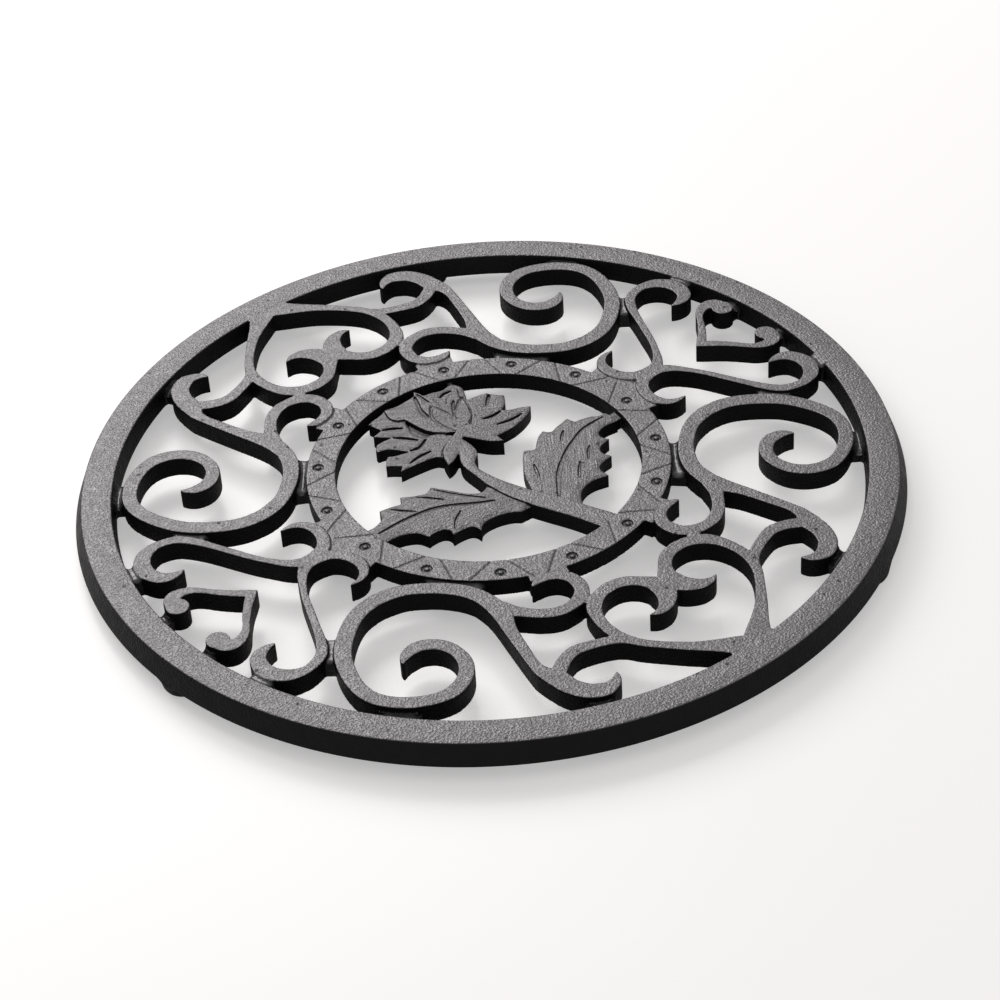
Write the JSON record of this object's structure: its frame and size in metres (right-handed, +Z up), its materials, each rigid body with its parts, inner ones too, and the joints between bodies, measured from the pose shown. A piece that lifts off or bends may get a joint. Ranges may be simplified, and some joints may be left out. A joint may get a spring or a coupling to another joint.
{
  "type": "trivet",
  "caption": "Round cast-iron trivet on small domed feet: open scrollwork between a flat rim and an engraved band, with a flower inside.",
  "frame": {"origin": "middle of the trivet, on the table under its feet", "axes": "+Z up, out of the patterned face; +Y the way the flower grows, from the stem's foot to the bud; +X to the right of the flower, seen from above"},
  "size_m": [0.2044, 0.2044, 0.009],
  "materials": {
    "iron": "matte black, as cast"
  },
  "bodies": {
    "root": {"rim": "iron", "foot_left": "iron", "foot_front": "iron", "foot_back": "iron", "band_ring": "iron", "big_scroll_ne": "iron", "big_scroll_nw": "iron", "big_scroll_sw": "iron", "big_scroll_se": "iron", "ring_hook_ne": "iron", "ring_hook_nw": "iron", "ring_hook_sw": "iron", "ring_hook_se": "iron", "saddle_bar_ne": "iron", "saddle_bar_nw": "iron", "saddle_bar_sw": "iron", "saddle_bar_se": "iron", "fleur_top": "iron", "fleur_bottom": "iron", "lyre_left": "iron", "lyre_right": "iron", "heart_left": "iron", "heart_right": "iron", "hook_necks": "iron", "spiral_necks": "iron", "lyre_necks": "iron", "heart_necks": "iron", "scroll_necks": "iron", "band_webs": "iron", "left_petals": "iron", "right_petals": "iron", "bud": "iron", "sepals": "iron", "stem": "iron", "left_leaf": "iron", "right_leaf": "iron", "flower_ties": "iron"}
  },
  "joints": []
}
